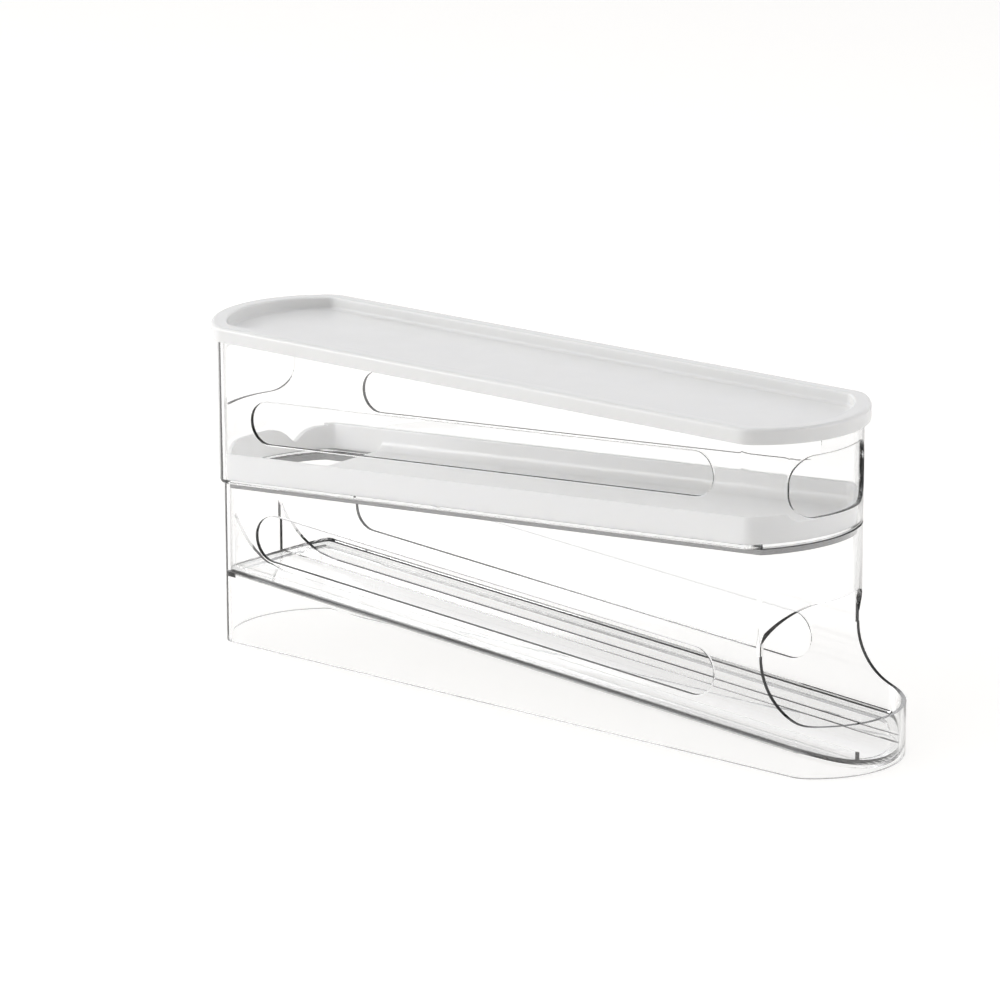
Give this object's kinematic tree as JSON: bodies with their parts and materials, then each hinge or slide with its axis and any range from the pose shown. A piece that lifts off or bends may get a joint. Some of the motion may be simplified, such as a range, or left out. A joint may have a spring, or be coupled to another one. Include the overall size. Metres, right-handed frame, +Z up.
{
  "type": "rolling egg dispenser",
  "caption": "Two-tier clear egg dispenser: eggs roll back along a tilted tray, drop through its hole and roll forward to a scoop at the front, under a lift-off lid.",
  "frame": {"origin": "on the surface that the dispenser stands on, under the middle of its length and width", "axes": "+X towards the dispensing scoop, +Y towards the far long side, +Z up"},
  "size_m": [0.4, 0.093, 0.1627],
  "materials": {
    "clear_plastic": "clear polished plastic",
    "white_plastic": "white satin plastic"
  },
  "bodies": {
    "base": {"base": "clear_plastic"},
    "lower_ramp": {"lower_ramp": "clear_plastic"},
    "lower_housing": {"lower_housing": "clear_plastic"},
    "upper_housing": {"upper_housing": "clear_plastic"},
    "ramp_tray": {"ramp_tray": "white_plastic"},
    "lid": {"lid": "white_plastic"}
  },
  "joints": [
    {"name": "ramp_lift", "type": "slide", "parent": "base", "child": "lower_ramp", "axis": [0, 0, 1], "range_m": [0, 0.03]},
    {"name": "lower_housing_lift", "type": "slide", "parent": "lower_ramp", "child": "lower_housing", "axis": [0, 0, 1], "range_m": [0, 0.045]},
    {"name": "upper_housing_lift", "type": "slide", "parent": "lower_housing", "child": "upper_housing", "axis": [0, 0, 1], "range_m": [0, 0.04]},
    {"name": "tray_lift", "type": "slide", "parent": "upper_housing", "child": "ramp_tray", "axis": [0, 0, 1], "range_m": [0, 0.085]},
    {"name": "lid_lift", "type": "slide", "parent": "ramp_tray", "child": "lid", "axis": [0, 0, 1], "range_m": [0, 0.04]}
  ]
}
